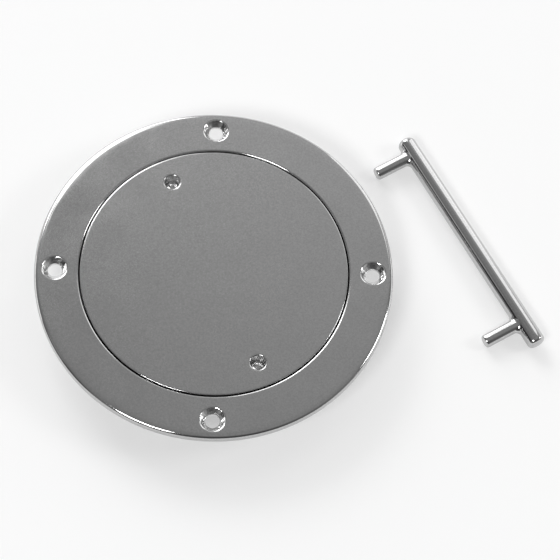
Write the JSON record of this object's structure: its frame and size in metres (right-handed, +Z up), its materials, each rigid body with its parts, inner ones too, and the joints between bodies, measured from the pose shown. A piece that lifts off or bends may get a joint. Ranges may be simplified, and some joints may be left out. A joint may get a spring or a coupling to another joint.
{
  "type": "deck inspection plate",
  "caption": "Round deck inspection plate: a flanged ring with countersunk holes and a threaded collar, a flush screw-in lid with a seal, and the pronged key that turns it.",
  "frame": {"origin": "centre of the flange's underside, where it meets the deck", "axes": "+Z up out of the deck along the lid's axis, with the four screw holes on the X and Y axes"},
  "size_m": [0.2146, 0.15, 0.0181],
  "materials": {
    "polished_steel": "polished cast stainless steel",
    "seal_rubber": "matte"
  },
  "bodies": {
    "ring_body": {"deck_ring": "polished_steel", "key": "polished_steel"},
    "rising_body": {"seal": "seal_rubber"},
    "lid_body": {"lid": "polished_steel"}
  },
  "joints": [
    {"name": "lid_rise", "type": "slide", "parent": "ring_body", "child": "rising_body", "axis": [0, 0, 1], "range_m": [0, 0.006]},
    {"name": "lid_turn", "type": "hinge", "parent": "rising_body", "child": "lid_body", "pos_m": [0, 0, 0], "axis": [0, 0, 1], "range_deg": [0, 450]}
  ],
  "couplings": [
    {"joint": "lid_rise", "follows": "lid_turn", "m_per_rad": 0.00076394}
  ]
}
